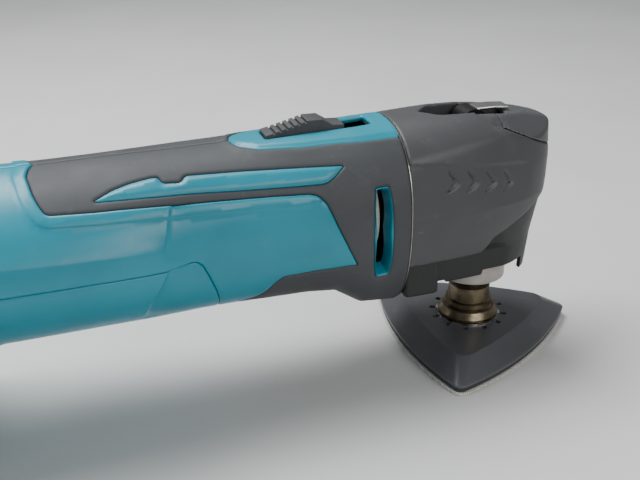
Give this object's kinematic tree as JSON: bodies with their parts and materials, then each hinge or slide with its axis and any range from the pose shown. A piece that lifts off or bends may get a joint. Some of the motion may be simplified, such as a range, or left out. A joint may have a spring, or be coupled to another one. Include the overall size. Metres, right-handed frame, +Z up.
{
  "type": "cordless oscillating multi tool",
  "caption": "Cordless oscillating multi tool with a soft grip, a tool-free clamp lever, a slide switch, a slide-on battery and a three-cornered sanding pad.",
  "frame": {"origin": "on the surface that the tool stands on, under the middle of its box", "axes": "+X forward along the body from the battery to the head, +Y to the tool's left, +Z up along the spindle"},
  "size_m": [0.365, 0.0922, 0.1174],
  "materials": {
    "teal": "moulded, satin",
    "soft_grip": "fine matt texture",
    "black_plastic": "moulded",
    "lever_plastic": "moulded",
    "white_nylon": "moulded",
    "rubber": "matt",
    "cast_alloy": "cast",
    "steel": "machined",
    "bronzed_steel": "browned",
    "bright_steel": "ground",
    "zinc_steel": "zinc plated",
    "core_steel": "laminated",
    "copper": "enamelled copper",
    "brass": "turned",
    "carbon": "graphite",
    "ferrite": "sintered",
    "pad_plastic": "moulded",
    "foam": "closed cell",
    "hook_fabric": "hook pile",
    "lens": "clear",
    "board": "circuit board",
    "cell_wrap": "shrink wrap",
    "battery_plastic": "moulded"
  },
  "bodies": {
    "tool_body": {"housing_left": "teal", "housing_right": "teal", "grip_left": "soft_grip", "grip_right": "soft_grip", "brush_cover": "teal", "switch_plate": "teal", "rear_foot": "rubber", "housing_screws": "zinc_steel", "gear_housing": "cast_alloy", "head_cover": "soft_grip", "head_skirt": "black_plastic", "led_lens": "lens", "led_board": "board", "bearing_retainer": "cast_alloy", "dust_seal": "rubber", "retainer_screws": "zinc_steel", "upper_spindle_bearing": "steel", "lower_spindle_bearing": "steel", "lever_pin": "bright_steel", "front_motor_bearing": "steel", "rear_motor_bearing": "steel", "motor_can": "zinc_steel", "motor_magnets": "ferrite", "motor_end_bell": "black_plastic", "carbon_brushes": "carbon", "brush_springs": "steel", "brush_caps": "black_plastic", "switch_body": "black_plastic", "control_board": "board", "terminal_block": "black_plastic", "terminal_blades": "brass"},
    "armature": {"motor_shaft": "steel", "armature_core": "core_steel", "armature_windings": "copper", "commutator": "copper", "cooling_fan": "white_nylon", "counterweight": "steel", "eccentric_bearing": "steel"},
    "spindle_unit": {"spindle": "bronzed_steel", "swing_fork": "steel", "clamp_spring": "steel"},
    "clamp": {"clamp_shaft": "steel", "clamp_jaws": "steel"},
    "lever": {"lock_lever": "lever_plastic", "lever_cam": "bright_steel"},
    "pad": {"pad_body": "pad_plastic", "pad_cushion": "foam", "hook_layer": "hook_fabric", "pad_insert": "bright_steel"},
    "bolt": {"holder_bolt": "steel"},
    "switch": {"switch_knob": "black_plastic", "switch_rod": "black_plastic"},
    "dial": {"speed_dial": "black_plastic"},
    "battery": {"battery_case_front": "battery_plastic", "battery_case_rear": "battery_plastic", "battery_cells": "cell_wrap", "battery_screws": "zinc_steel", "button_spring": "steel"},
    "button": {"battery_button": "black_plastic"}
  },
  "joints": [
    {"name": "armature_spin", "type": "hinge", "parent": "tool_body", "child": "armature", "pos_m": [0.04, 0, 0.0775], "axis": [1, 0, 0], "continuous": true},
    {"name": "spindle_swing", "type": "hinge", "parent": "tool_body", "child": "spindle_unit", "pos_m": [0.13, 0, 0.0775], "axis": [0, 0, 1], "range_deg": [-1.6, 1.6]},
    {"name": "lever_hinge", "type": "hinge", "parent": "tool_body", "child": "lever", "pos_m": [0.125, 0, 0.1075], "axis": [0, -1, 0], "range_deg": [0, 95]},
    {"name": "clamp_slide", "type": "slide", "parent": "spindle_unit", "child": "clamp", "axis": [0, 0, -1], "range_m": [0, 0.0018], "deforming": ["clamp_spring"]},
    {"name": "pad_release", "type": "slide", "parent": "spindle_unit", "child": "pad", "axis": [0, 0, -1], "range_m": [0, 0.03]},
    {"name": "bolt_release", "type": "slide", "parent": "pad", "child": "bolt", "axis": [0, 0, -1], "range_m": [0, 0.05]},
    {"name": "switch_slide", "type": "slide", "parent": "tool_body", "child": "switch", "axis": [1, 0, 0], "range_m": [0, 0.01]},
    {"name": "dial_turn", "type": "hinge", "parent": "tool_body", "child": "dial", "pos_m": [-0.088, 0, 0.1056], "axis": [0, 1, 0], "range_deg": [0, 270]},
    {"name": "battery_slide", "type": "slide", "parent": "tool_body", "child": "battery", "axis": [0, 0, 1], "range_m": [0, 0.085]},
    {"name": "battery_button_press", "type": "slide", "parent": "battery", "child": "button", "axis": [-1, 0, 0], "range_m": [0, 0.0045], "stiffness_N_per_m": 1500, "springref_m": -0.002, "deforming": ["button_spring"]}
  ],
  "couplings": [
    {"joint": "lever_hinge", "follows": "clamp_slide", "rad_per_m": 921.14}
  ]
}
